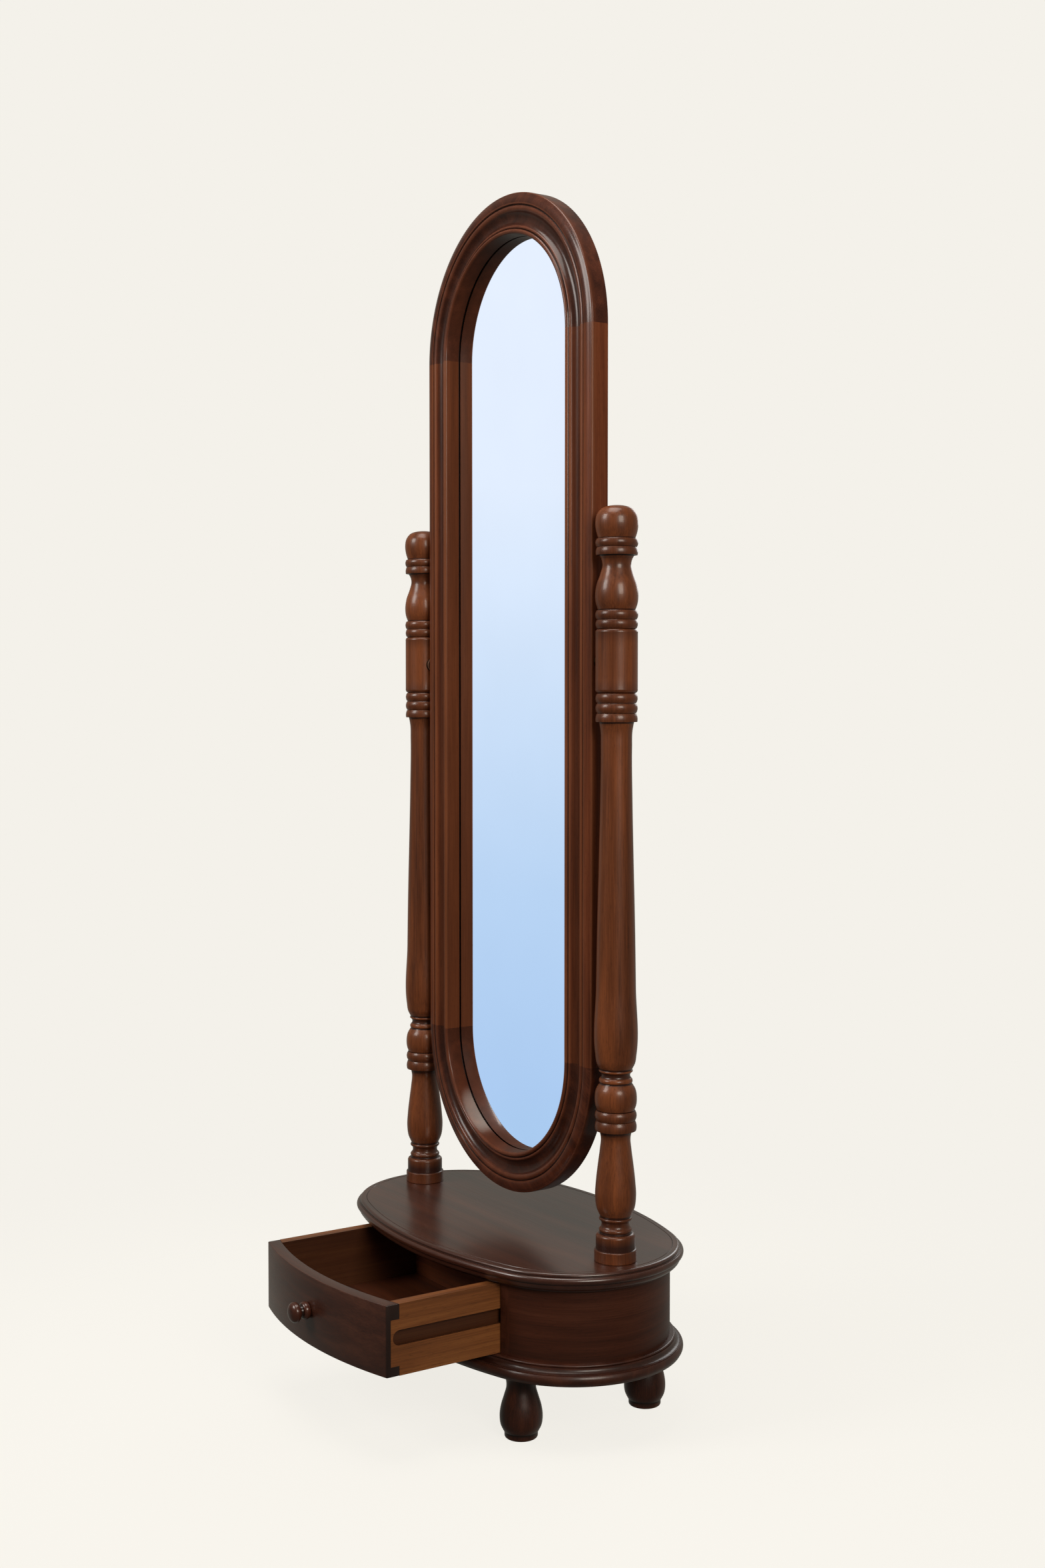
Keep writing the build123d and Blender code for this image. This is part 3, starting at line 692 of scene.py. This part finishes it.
POST = [
    ("arc", (28.4, 0.5), (28.5, 1.5)),
    ("line", (28.5, 14.2)),
    ("arc", (28.2, 15.5), (27.0, 16.1)),
    ("line", (26.4, 16.4), (26.4, 32.0)),
    ("arc", (25.4, 35.4), (21.4, 37.2)),
    ("line", (21.0, 39.2)),
    ("arc", (22.3, 41.8), (21.0, 44.4)),
    ("arc", (18.7, 50.4), (20.8, 54.6)),
    ("arc", (22.3, 56.6), (20.8, 58.8)),
    ("line", (21.0, 60.4)),
    ("curve", (25.4, 70.5), (27.4, 86.5), (26.4, 105), (23.6, 130), (21.0, 150),
     (19.9, 166), (21.2, 172.4)),
    *bead(175.0, 188.0, 27.9, 22.6, flare=1.4),
    *bead(188.4, 201.6, 27.9, 24.6),
    ("curve", (27.1, 208), (28.1, 218.7), (26.3, 230), (21.4, 238.4)),
    ("arc", (22.4, 241.6), (21.2, 244.8)),
    ("arc", (19.1, 248.8), (20.9, 252.8)),
    ("arc", (22.6, 254.6), (21.6, 256.6)),
    ("line", (22.0, 257.4)),
    ("curve", (25.6, 264.5), (27.6, 277), (26.5, 366), (25.4, 437), (22.9, 543),
     (21.4, 614), (20.7, 684.7), (21.3, 707), (22.8, 715.6)),
    *bead(718.0, 729.0, 27.9, 23.4, flare=1.4),
    *bead(729.4, 742.5, 27.9, 25.4),
    *bead(742.9, 755.4, 27.9, 25.4),
    ("line", (24.6, 755.9)),
    ("arc", (27.1, 757.6), (28.0, 761.5)),
    ("line", (28.0, 780.0), (28.0, 798.0), (28.0, 816.0), (28.0, 835.0)),
    ("arc", (27.1, 838.9), (24.6, 840.6)),
    *bead(841.0, 852.6, 27.9, 25.4),
    *bead(853.0, 864.8, 28.3, 24.4),
    ("curve", (27.3, 873), (28.5, 884.8), (26.6, 899), (21.6, 913.5), (19.0, 925),
     (20.6, 932.6), (22.8, 936.4)),
    *bead(937.4, 947.8, 27.8, 23.2, flare=1.2),
    *bead(948.2, 958.8, 28.2, 24.2),
    ("curve", (27.2, 968.5), (28.4, 981), (26.6, 990.5), (20.5, 998.4), (10.5, 1002.0),
     (0, 1002.6)),
]


# Heights above the deck of the rings and the base, where the stain stays darker
STAINED = ((0, 62), (172.4, 202), (716, 763), (834, 866), (936.5, 959.5))
STAINED_PROUD = 0.32


class MIRROR_OT_posts(bpy.types.Operator):
    """Two turned posts"""

    bl_idname = "mirror.posts"
    bl_label = "Posts"

    def execute(self, context):
        steps = context.scene.mirror_sizes.lathe_steps
        for side, tag, shift in ((-1, "left", (0.17, 0.05, 0.3)), (1, "right", (0, 0, 0))):
            material = mahogany(f"Mahogany {tag} post, lacquered", stain("post"),
                                shift=shift, coat=0.35, roughness=0.38, contrast=0.85,
                                hollow_stain_and_shade_tone="260E09", film=0.16)
            bm = lathe((27.9, 0), POST,
                       lambda r, z: spot(side * POST_X + r, 0, DECK + z),
                       spot(side * POST_X, 0, 0), (0, 0, 1), steps)
            layer = bm.verts.layers.float.get("proud")
            for vert in bm.verts:
                height = vert.co.z / MM - DECK
                if any(low <= height <= high for low, high in STAINED):
                    vert[layer] = min(vert[layer], STAINED_PROUD)
            make_piece(bm, "post_" + tag, "stand", ["post_" + tag],
                       material)
        return {"FINISHED"}


# The frame's front face, before the posts' axes
FACE = -13

# Behind that face, the floor of the gap between moulding and glass, painted black as shade
GAP = -16.9

# How far in from the frame's outer edge its inner wall begins, which is painted lighter as
# painted light, and how far in the gap's floor ends, which is painted black as painted shade
EDGE_IN, GAP_IN = 54.0, 57.0
PAINTED_LIGHT_EDGE_PROUD = 0.82


def frame_outline():
    """Moulding of the mirror frame: (in from the edge, proud of the front face)."""
    depth, lip, rabbet, sight = -26.0, -18.5, 49.0, 57.5
    return trace((0, depth), [
        ("line", (0, -18), (0, -10), (0, -2.2)),
        ("arc", (0.6, -0.6), (2.2, 0.2)),
        ("curve", (6.0, 1.9), (11.0, 2.9), (15.8, 2.8)),
        ("line", (17.0, 1.0), (18.0, 1.6)),
        ("arc", (21.6, 3.0), (25.2, 1.7)),
        ("line", (25.9, 0.9)),
        ("arc", (35.8, -4.2), (45.6, 2.2)),
        ("arc", (47.0, 3.5), (48.8, 3.3)),
        ("line", (49.8, 2.2), (50.5, 3.0)),
        ("arc", (53.6, 5.8), (56.8, 2.8)),
        ("line", (sight, -3.5), (sight, -11), (sight, GAP), (sight - 2.5, GAP),
         (sight - 2.5, lip), (rabbet, lip), (rabbet, depth), (26, depth)),
    ], curve_step=1.5)


class MIRROR_OT_frame(bpy.types.Operator):
    """Two stiles and four quarter-round rails of the mirror frame"""

    bl_idname = "mirror.frame"
    bl_label = "Mirror frame"

    def execute(self, context):
        points = frame_outline()
        # Stain, tone of the crests, lightened as wear and as a painted highlight, and weight
        # of the lacquer
        finishes = {"stile": (stain("frame"), "845032", 0.25),
                    "arch_bottom": (("28110B", "4A2315", "683622"), "744028", 0.45),
                    "arch_top": (("28110B", "482316", "663523"), "744028", 0.5)}
        # Height of the springing, and which way the rail bends from it
        rails = {"stile": (SPRING_LOW, 0), "arch_bottom": (SPRING_LOW, 1),
                 "arch_top": (SPRING_HIGH, -1)}
        for kind, (height, turn) in rails.items():
            tones, crest_wear_and_highlight, lacquer = finishes[kind]
            for side, tag in ((1, "right"), (-1, "left")):
                bm = bmesh.new()
                geom = chain(
                    bm, points,
                    lambda w, h: spot(side * (FRAME_HALF - w), FACE - h, height),
                    closed=True, flip=True, relief=1.3)
                layer = bm.verts.layers.float.get("proud")
                for vert in bm.verts:
                    depth = FACE - (vert.co.y / MM - AXIS_Y)
                    inward = FRAME_HALF - abs(vert.co.x) / MM
                    # Painted light: the inner wall is given a proudness that paints it
                    # lighter
                    if inward > EDGE_IN and depth < -1.0:
                        # Painted shade: the gap's floor is given no proudness, which paints
                        # it dark
                        in_painted_shade_gap = inward < GAP_IN and depth < GAP + 0.1
                        vert[layer] = 0.0 if in_painted_shade_gap else PAINTED_LIGHT_EDGE_PROUD
                cap = bmesh.ops.contextual_create(
                    bm, geom=[e for e in geom if isinstance(e, bmesh.types.BMEdge)])
                if turn:
                    bmesh.ops.spin(bm, geom=geom + cap["faces"],
                                   cent=spot(0, 0, height), axis=(0, side * turn, 0),
                                   angle=math.pi / 2, steps=72)
                else:
                    rise = (SPRING_HIGH - SPRING_LOW) / 24 * MM
                    bmesh.ops.spin(bm, geom=geom + cap["faces"], cent=(0, 0, 0),
                                   axis=(0, 0, 1), angle=0, steps=24, dvec=(0, 0, rise))
                material = mahogany(f"Mahogany {kind} {tag}, lacquered", tones,
                                    turn=(0, math.radians(45) * turn * side, 0),
                                    shift=(0.07 * side, 0.13 * turn, 0.21 * side + turn),
                                    coat=lacquer, gloss=0.2, crest_wear_and_highlight_tone=crest_wear_and_highlight,
                                    contrast=0.9, roughness=0.38, film=0.14)
                name = f"{kind}_{tag}"
                make_piece(bm, name, "mirror", [name], material, sharp=28)
        return {"FINISHED"}


class MIRROR_OT_glass(bpy.types.Operator):
    """Silvered glass and the board behind it"""

    bl_idname = "mirror.glass"
    bl_label = "Glass and backing"

    def execute(self, context):
        dress("mirror_glass", silvered("Silvered float glass"))
        # Felted mottle of pressed fibres, some 2 mm across
        dress("backing_board", dull(
            "Hardboard backing, raw", "ShaderNodeTexNoise", {"Scale": 420.0, "Detail": 5.0},
            "Fac", [(0.35, "5B3D24"), (0.65, "6E4C2E")], (0.2, 0.0004), 0.8))
        return {"FINISHED"}


# Heights of the housed tongues of the drawer sides
TONGUE_LOW, TONGUE_HIGH = 131, 192

# Their play in the drawer front, in metres
NOTCH_PLAY = 0.00005


class MIRROR_OT_drawer(bpy.types.Operator):
    """Bowed drawer front, knob, sides, back and bottom"""

    bl_idname = "mirror.drawer"
    bl_label = "Drawer"

    def execute(self, context):
        sizes = context.scene.mirror_sizes
        data = oval_arcs()
        inset = sizes.case_inset / MM
        outer = data["side_r"] - inset
        centre_y = DRAWER_FACE + outer
        inner = outer - sizes.wall / MM
        # Swept a little past both ends, which are then cut off square
        half_angle = math.asin(178.0 / outer)
        start = -math.pi / 2 - half_angle
        bm = bmesh.new()
        verts = [bm.verts.new(spot(radius * math.cos(start),
                                   centre_y + radius * math.sin(start), z))
                 for radius, z in ((outer, DRAWER_LOW), (outer, DRAWER_HIGH),
                                   (inner, DRAWER_HIGH), (inner, DRAWER_LOW))]
        face = bm.faces.new(verts)
        bmesh.ops.spin(bm, geom=verts + bm.edges[:] + [face], cent=spot(0, centre_y, 0),
                       axis=(0, 0, 1), angle=2 * half_angle, steps=64)
        for side in (-1, 1):
            slice_off(bm, spot(side * (DRAWER_HALF - 0.1), 0, 0), (side, 0, 0))
        bmesh.ops.recalc_face_normals(bm, faces=bm.faces)
        sharp = [e for e in bm.edges if len(e.link_faces) == 2
                 and e.calc_face_angle() > math.radians(40)]
        bmesh.ops.bevel(bm, geom=sharp, offset=0.0008, affect="EDGES", segments=3,
                        profile=0.5, material=-1)
        # The sides' tongues are housed in the front's ends
        side_low, side_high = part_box("drawer_side_right")
        near, far = side_low.x - NOTCH_PLAY, side_high.x + 0.01
        front, back = side_low.y - NOTCH_PLAY, side_low.y + 0.06
        low, high = TONGUE_LOW * MM - NOTCH_PLAY, TONGUE_HIGH * MM + NOTCH_PLAY
        carve(bm, (near, front, low), (far, back, high))
        carve(bm, (-far, front, low), (-near, back, high))
        layer = bm.verts.layers.float.new("proud")
        for vert in bm.verts:
            # End grain takes more stain
            vert[layer] = 0.12 if abs(vert.co.x) / MM > DRAWER_HALF - 1.2 else FLAT
        make_piece(bm, "drawer_front", "drawer", ["drawer_front"],
                   mahogany("Mahogany drawer front, lacquered", stain("case"),
                            turn=ALONG_X, shift=(0.4, 0.3, 0.1), coat=0.5, gloss=0.5,
                            contrast=0.8))

        # Turned knob: base bead and mushroom head
        knob = [
            ("line", (10.4, 0.8)),
            ("arc", (12.0, 5.4), (9.6, 9.8)),
            ("line", (8.0, 10.6), (7.6, 12.6)),
            ("curve", (10.6, 14.6), (13.7, 18.6), (13.2, 23.0), (9.0, 26.6), (4.0, 27.8),
             (0, 28.0)),
        ]
        bm = lathe((9.0, -0.4), [("line", (9.0, 0.0))] + knob,
                   lambda r, t: spot(r, DRAWER_FACE - t, KNOB_Z),
                   spot(0, DRAWER_FACE, KNOB_Z), (0, 1, 0), 64)
        make_piece(bm, "drawer_knob", "drawer", ["drawer_knob"],
                   mahogany("Mahogany knob, lacquered", ("241009", "3A1B12", "50291B"),
                            turn=ALONG_X, coat=0.6, roughness=0.32, film=0.12))

        inside = mahogany("Mahogany drawer sides, thin lacquer", stain("drawer"),
                          turn=ALONG_Y, hollows=False, coat=0.1, roughness=0.45,
                          contrast=0.8)
        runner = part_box("runner_right")
        darken_sides(inside, side_low.x, ((runner[0].z + runner[1].z) / 2, 0.0104))
        for node in ("drawer_side_left", "drawer_side_right"):
            dress(node, inside)
        dress("drawer_back", mahogany("Mahogany drawer back, thin lacquer",
                                      ("3C1C10", "5E3019", "7A4526"), turn=ALONG_X,
                                      hollows=False, coat=0.2, roughness=0.45))
        dress("drawer_bottom", mahogany("Mahogany veneered drawer bottom",
                                        ("2A120B", "44200F", "5A2E18"), turn=ALONG_X,
                                        hollows=False, coat=0.2, roughness=0.45))
        return {"FINISHED"}


class MIRROR_OT_hardware(bpy.types.Operator):
    """Screws, bolts, pivots, clips and washers"""

    bl_idname = "mirror.hardware"
    bl_label = "Hardware"

    def execute(self, context):
        steel = metal("Zinc plated steel, drawn", "9A9DA0", 0.38, stretch=(1, 1, 0.1))
        brass = metal("Turned brass, satin", "B08D4A", 0.32, stretch=(0.1, 1, 1))
        bronze = metal("Turned bronze, oil darkened", "3E2C1C", 0.45, stretch=(0.1, 1, 1))
        for node in ("foot_bolts", "post_rods", "rod_washers", "rod_nuts", "base_screws",
                     "cleat_screws", "runner_screws", "catch_screw", "knob_screw",
                     "clip_screws", "pivot_pins"):
            dress(node, steel)
        dress("back_clips", brass)
        for node in ("pivot_bush_left", "pivot_bush_right", "pivot_collars"):
            dress(node, bronze)
        # Tight pebble, 0.7 mm across
        dress("friction_washers", dull(
            "Washer leather", "ShaderNodeTexVoronoi", {"Scale": 1400.0}, "Distance",
            [(0.0, "3A2214"), (0.7, "5C3A22")], (0.3, 0.0002), 0.7))
        return {"FINISHED"}


class MIRROR_OT_carcass(bpy.types.Operator):
    """Inner woodwork that carries the drawer and ties the case"""

    bl_idname = "mirror.carcass"
    bl_label = "Inner woodwork"

    def execute(self, context):
        poplar = ("6A4A2C", "8A6640", "A07C52")
        upright = plain_wood("Poplar partition, planed", poplar, turn=ALONG_Y)
        runner = plain_wood("Maple runner, waxed", ("8A6A42", "AA8656", "C09C6A"),
                            turn=ALONG_Y, roughness=0.45)
        block = plain_wood("Poplar blocks, sawn", poplar)
        for node in ("partition_left", "partition_right", "cleat_left", "cleat_right"):
            dress(node, upright)
        for node in ("runner_left", "runner_right"):
            dress(node, runner)
        for node in ("glue_blocks", "drawer_stops", "drawer_catch", "frame_dowels"):
            dress(node, block)
        return {"FINISHED"}


def add_light(name, place, aim_height, size, power, colour):
    """Soft square lamp aimed at a height above the middle of the floor."""
    data = bpy.data.lights.new(name, "AREA")
    data.size = size
    data.energy = power
    data.color = linear(colour)[:3]
    lamp = bpy.data.objects.new(name, data)
    lamp.location = place
    aim = Vector((0, 0, aim_height)) - Vector(place)
    lamp.rotation_euler = aim.to_track_quat("-Z", "Y").to_euler()
    bpy.context.scene.collection.objects.link(lamp)
    lamp.visible_camera = False
    return lamp


# Tone of the backdrop. Directions seen from the mirror: to the lit paper, and to the
# window that the frame's inner edge catches by way of the glass
BACKDROP = "F4F1EA"
TO_PAPER = (-0.62, 0.78, 0.0)
TO_WINDOW = (0.06, -0.56, 0.83)

# The world counts one bounce more than the surfaces that led to it
FIRST_REFLECTION = 2.5

# Floor's radius and the camera: lens in mm, place in metres, turn in degrees
FLOOR_RADIUS = 1.6
LENS, SENSOR, SHIFT = 43.497, 36.0, -0.012543
CAMERA_PLACE = (2.259, -1.493 + AXIS_Y * MM, 1.002)
CAMERA_TURN = (87.71, 0, 56.25)


class MIRROR_OT_stage(bpy.types.Operator):
    """Pale floor, studio, lamps and camera"""

    bl_idname = "mirror.stage"
    bl_label = "Stage"

    def execute(self, context):
        scene = context.scene
        world = bpy.data.worlds.new("Studio")
        scene.world = world
        world.use_nodes = True
        tree = world.node_tree
        tree.nodes.clear()
        path = add(tree, "ShaderNodeLightPath")
        seen = add(tree, "ShaderNodeBackground", {"Color": linear(BACKDROP)})
        # The studio is lit paper behind and to the left, and a dim room in front
        facing = add(tree, "ShaderNodeTexCoord").outputs["Generated"]
        towards = add(tree, "ShaderNodeVectorMath", {0: facing, 1: TO_PAPER},
                      operation="DOT_PRODUCT").outputs["Value"]
        glow = add(tree, "ShaderNodeMapRange", {"Value": towards, "From Min": -0.1,
                                                "From Max": 0.6, "To Min": 0.12,
                                                "To Max": 0.33}).outputs["Result"]
        # The frame's inner edge, mirrored in the glass, catches a window high in front
        window = add(tree, "ShaderNodeVectorMath", {0: facing, 1: TO_WINDOW},
                     operation="DOT_PRODUCT").outputs["Value"]
        pane = add(tree, "ShaderNodeMapRange", {"Value": window, "From Min": 0.90,
                                                "From Max": 0.97, "To Min": 0.0,
                                                "To Max": 9.0}).outputs["Result"]
        clear = add(tree, "ShaderNodeMath", {0: path.outputs["Diffuse Depth"], 1: 0.5},
                    operation="LESS_THAN").outputs[0]
        twice = add(tree, "ShaderNodeMath", {0: path.outputs["Is Singular Ray"], 1: clear},
                    operation="MULTIPLY").outputs[0]
        total = add(tree, "ShaderNodeMath", {0: twice, 1: pane, 2: glow},
                    operation="MULTIPLY_ADD").outputs[0]
        lit = add(tree, "ShaderNodeBackground", {"Color": linear("E6E2D4"),
                                                 "Strength": total})
        # Polished glass shows an evening sky, blue below and pale above
        height = add(tree, "ShaderNodeSeparateXYZ", {0: facing}).outputs["Z"]
        share = add(tree, "ShaderNodeMapRange", {"Value": height, "From Min": -0.245,
                                                 "From Max": 0.235}).outputs["Result"]
        tone = ramp(tree, share, [(0.0, "AACBEE"), (0.074, "ADCBEF"), (0.287, "B9D3F1"),
                                  (0.511, "CFE1F7"), (0.73, "E3EDFC"), (1.0, "E7EFFD")])
        sky = add(tree, "ShaderNodeBackground", {"Color": tone, "Strength": 1.06})
        first = add(tree, "ShaderNodeMath", {0: path.outputs["Ray Depth"],
                                             1: FIRST_REFLECTION},
                    operation="LESS_THAN").outputs[0]
        polished = add(tree, "ShaderNodeMath", {0: path.outputs["Is Singular Ray"],
                                                1: first}, operation="MULTIPLY").outputs[0]
        studio = add(tree, "ShaderNodeMixShader", {0: polished,
                                                   1: lit.outputs[0], 2: sky.outputs[0]})
        mixed = add(tree, "ShaderNodeMixShader", {0: path.outputs["Is Camera Ray"],
                                                  1: studio.outputs[0], 2: seen.outputs[0]})
        add(tree, "ShaderNodeOutputWorld", {"Surface": mixed.outputs[0]})

        bm = bmesh.new()
        bmesh.ops.create_circle(bm, cap_ends=True, segments=96, radius=FLOOR_RADIUS)
        mesh = bpy.data.meshes.new("floor")
        bm.to_mesh(mesh)
        bm.free()
        floor = bpy.data.objects.new("floor", mesh)
        scene.collection.objects.link(floor)
        material, tree, shader = new_material("Studio paper, pale", {
            "Base Color": (0.10, 0.10, 0.095, 1.0), "Roughness": 1.0,
            "Specular IOR Level": 0.0, "Emission Color": linear(BACKDROP),
            "Emission Strength": 0.93})
        # The paper melts into the background away from the mirror's foot
        place = add(tree, "ShaderNodeTexCoord").outputs["Object"]
        away = add(tree, "ShaderNodeVectorMath", {0: place}, operation="LENGTH")
        fade = add(tree, "ShaderNodeMapRange", {"Value": away.outputs["Value"],
                                                "From Min": 0.55, "From Max": 1.5,
                                                "To Min": 1.0, "To Max": 0.0},
                   interpolation_type="SMOOTHSTEP")
        tree.links.new(fade.outputs["Result"], shader.inputs["Alpha"])
        mesh.materials.append(material)
        floor.visible_glossy = False
        floor.visible_diffuse = False

        lamps = [
            add_light("overhead", (0.2, -0.4, 3.4), 0.6, 1.6, 42, "FFF8F0"),
            add_light("front_left", (-0.9, -3.3, 2.9), 0.8, 1.5, 80, "FFFAF4"),
            add_light("right", (3.5, -0.7, 2.2), 0.8, 1.5, 72, "FFF4E6"),
            add_light("back", (-1.6, 3.0, 2.2), 1.0, 1.6, 22, "FFFFFF"),
        ]
        # No lamp shows in the glass
        not_glass = bpy.data.collections.new("not_glass")
        not_glass.objects.link(NODES["mirror_glass"])
        not_glass.collection_objects[0].light_linking.link_state = "EXCLUDE"
        for lamp in lamps:
            lamp.light_linking.receiver_collection = not_glass

        data = bpy.data.cameras.new("view")
        data.sensor_fit = "VERTICAL"
        data.sensor_height = SENSOR
        data.sensor_width = SENSOR
        data.lens = LENS
        data.shift_y = SHIFT
        data.clip_end = 60.0
        camera = bpy.data.objects.new("view", data)
        camera.location = CAMERA_PLACE
        camera.rotation_euler = [math.radians(angle) for angle in CAMERA_TURN]
        scene.collection.objects.link(camera)
        scene.camera = camera
        scene.view_settings.view_transform = "Standard"
        return {"FINISHED"}


class MIRROR_PT_panel(bpy.types.Panel):
    """Sizes, colours and build buttons"""

    bl_label = "Cheval Mirror"
    bl_idname = "MIRROR_PT_panel"
    bl_space_type = "VIEW_3D"
    bl_region_type = "UI"
    bl_category = "Cheval Mirror"

    def draw(self, context):
        for name in ("mirror_sizes", "mirror_colours"):
            group = getattr(context.scene, name)
            for key in group.bl_rna.properties.keys():
                if key not in ("rna_type", "name"):
                    self.layout.prop(group, key)
        for operator in OPERATORS:
            self.layout.operator(operator.bl_idname)


OPERATORS = (MIRROR_OT_case, MIRROR_OT_feet, MIRROR_OT_posts, MIRROR_OT_frame,
             MIRROR_OT_glass, MIRROR_OT_drawer, MIRROR_OT_hardware, MIRROR_OT_carcass,
             MIRROR_OT_stage)
CLASSES = (MirrorSizes, MirrorColours, *OPERATORS, MIRROR_PT_panel)


def register():
    for cls in CLASSES:
        bpy.utils.register_class(cls)
    bpy.types.Scene.mirror_sizes = bpy.props.PointerProperty(type=MirrorSizes)
    bpy.types.Scene.mirror_colours = bpy.props.PointerProperty(type=MirrorColours)


def unregister():
    del bpy.types.Scene.mirror_colours
    del bpy.types.Scene.mirror_sizes
    for cls in reversed(CLASSES):
        bpy.utils.unregister_class(cls)


def main():
    register()
    bpy.ops.mirror.case()
    bpy.ops.mirror.feet()
    bpy.ops.mirror.posts()
    bpy.ops.mirror.frame()
    bpy.ops.mirror.glass()
    bpy.ops.mirror.drawer()
    bpy.ops.mirror.hardware()
    bpy.ops.mirror.carcass()
    bpy.ops.mirror.stage()


if __name__ == "__main__":
    main()
